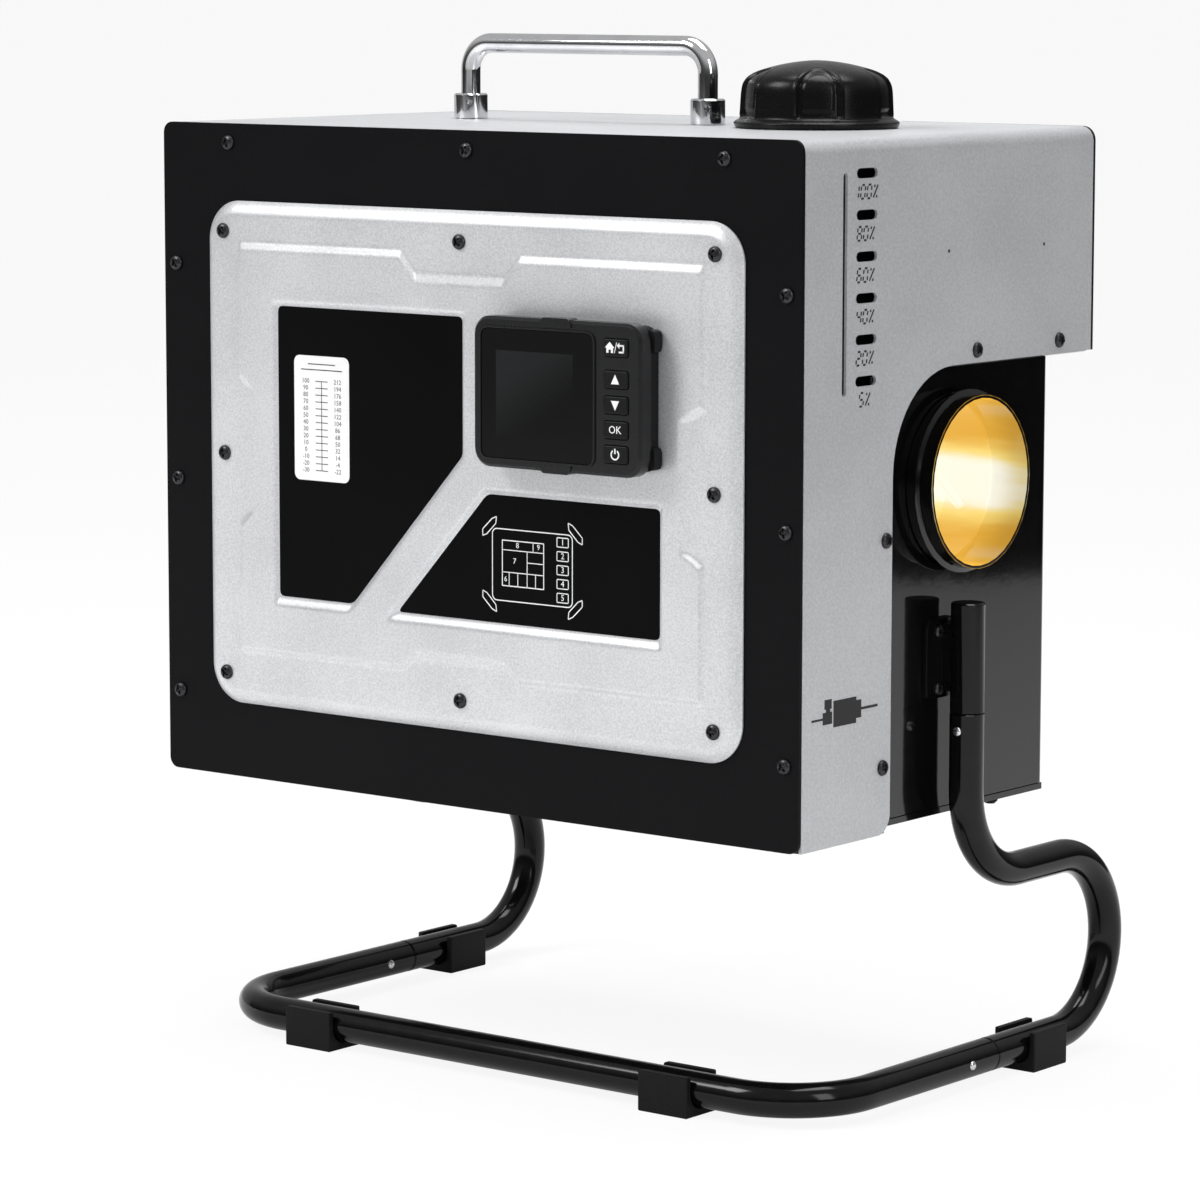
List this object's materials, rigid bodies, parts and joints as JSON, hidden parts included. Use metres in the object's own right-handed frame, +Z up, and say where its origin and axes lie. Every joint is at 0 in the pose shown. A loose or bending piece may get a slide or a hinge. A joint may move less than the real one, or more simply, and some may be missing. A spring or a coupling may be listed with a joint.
{
  "type": "portable diesel air heater",
  "caption": "Boxed diesel air heater on a bent tube stand, with fuel tank and screw cap, carrying handle, front control unit, round side outlet and inner burner.",
  "frame": {"origin": "on the floor, under the middle of the whole part's bounding box", "axes": "+X to the right seen from the front (the side with the warm air outlet), +Y from the front to the back, +Z up"},
  "size_m": [0.4138, 0.2964, 0.5106],
  "materials": {
    "satin_black_steel": "satin black powder coat",
    "bezel_silver": "fine metallic silver, lightly grained",
    "silver_paint": "satin metallic silver paint",
    "gloss_black_steel": "high gloss black enamel",
    "chrome": "mirror chrome",
    "dark_plastic": "satin moulded",
    "key_plastic": "satin with printed symbol",
    "screen_glass": "polished clear-coated window over a dark mask",
    "black_rubber": "matt rubber",
    "tank_plastic": "moulded polyethylene",
    "clear_plastic": "translucent",
    "cast_alloy": "as cast",
    "steel": "plain",
    "circuit_board": "green lacquer"
  },
  "bodies": {
    "heater": {"front_plate": "satin_black_steel", "front_bezel": "bezel_silver", "outer_cover": "silver_paint", "rear_panel": "satin_black_steel", "tank_shelf": "gloss_black_steel", "body_shell": "gloss_black_steel", "bottom_tray": "gloss_black_steel", "case_foot_1": "black_rubber", "case_foot_2": "black_rubber", "case_foot_3": "black_rubber", "case_foot_4": "black_rubber", "handle_bar": "chrome", "handle_ferrule_left": "chrome", "handle_ferrule_right": "chrome", "fuel_tank": "tank_plastic", "filler_neck": "tank_plastic", "sight_tube": "clear_plastic", "fuel_filter": "clear_plastic", "fuel_pump": "cast_alloy", "pump_bracket": "black_rubber", "tank_hose": "black_rubber", "pump_hose": "black_rubber", "burner_hose": "black_rubber", "unit_case": "dark_plastic", "unit_cradle": "black_rubber", "unit_lens": "screen_glass", "unit_board": "circuit_board", "outlet_duct": "gloss_black_steel", "outlet_nozzle": "steel", "casing_lower": "dark_plastic", "casing_upper": "dark_plastic", "heat_exchanger": "cast_alloy", "burner": "steel", "glow_plug": "steel", "blower_motor": "steel", "intake_guard": "satin_black_steel", "exhaust_pipe": "steel", "air_inlet_pipe": "dark_plastic", "power_socket": "dark_plastic", "control_board": "circuit_board", "stand_bracket_right": "gloss_black_steel", "stand_bracket_left": "gloss_black_steel", "stand_leg_right": "gloss_black_steel", "stand_leg_left": "gloss_black_steel", "stand_bow": "gloss_black_steel", "front_pad_left": "black_rubber", "front_pad_right": "black_rubber", "rear_pad_left": "black_rubber", "rear_pad_right": "black_rubber"},
    "cap_carrier": {"cap_seal": "black_rubber"},
    "cap": {"fuel_cap": "dark_plastic"},
    "rotor": {"motor_shaft": "steel", "warm_air_fan": "dark_plastic", "combustion_fan": "cast_alloy"},
    "plunger": {"pump_plunger": "steel"},
    "home_key": {"home_button": "key_plastic"},
    "up_key": {"up_button": "key_plastic"},
    "down_key": {"down_button": "key_plastic"},
    "ok_key": {"ok_button": "key_plastic"},
    "power_key": {"power_button": "key_plastic"}
  },
  "joints": [
    {"name": "cap_lift", "type": "slide", "parent": "heater", "child": "cap_carrier", "axis": [0, 0, 1], "range_m": [0, 0.0081]},
    {"name": "cap_turn", "type": "hinge", "parent": "cap_carrier", "child": "cap", "pos_m": [0.10155, 0.0132, 0.4666], "axis": [0, 0, 1], "range_deg": [0, 720]},
    {"name": "rotor_spin", "type": "hinge", "parent": "heater", "child": "rotor", "pos_m": [-0.10695, 0.0192, 0.298], "axis": [1, 0, 0], "continuous": true},
    {"name": "plunger_stroke", "type": "slide", "parent": "heater", "child": "plunger", "axis": [1, 0, 0], "range_m": [0, 0.003], "stiffness_N_per_m": 400},
    {"name": "home_press", "type": "slide", "parent": "heater", "child": "home_key", "axis": [0, 1, 0], "range_m": [0, 0.001], "stiffness_N_per_m": 300},
    {"name": "up_press", "type": "slide", "parent": "heater", "child": "up_key", "axis": [0, 1, 0], "range_m": [0, 0.001], "stiffness_N_per_m": 300},
    {"name": "down_press", "type": "slide", "parent": "heater", "child": "down_key", "axis": [0, 1, 0], "range_m": [0, 0.001], "stiffness_N_per_m": 300},
    {"name": "ok_press", "type": "slide", "parent": "heater", "child": "ok_key", "axis": [0, 1, 0], "range_m": [0, 0.001], "stiffness_N_per_m": 300},
    {"name": "power_press", "type": "slide", "parent": "heater", "child": "power_key", "axis": [0, 1, 0], "range_m": [0, 0.001], "stiffness_N_per_m": 300}
  ],
  "couplings": [
    {"joint": "cap_lift", "follows": "cap_turn", "m_per_rad": 0.00063662}
  ]
}
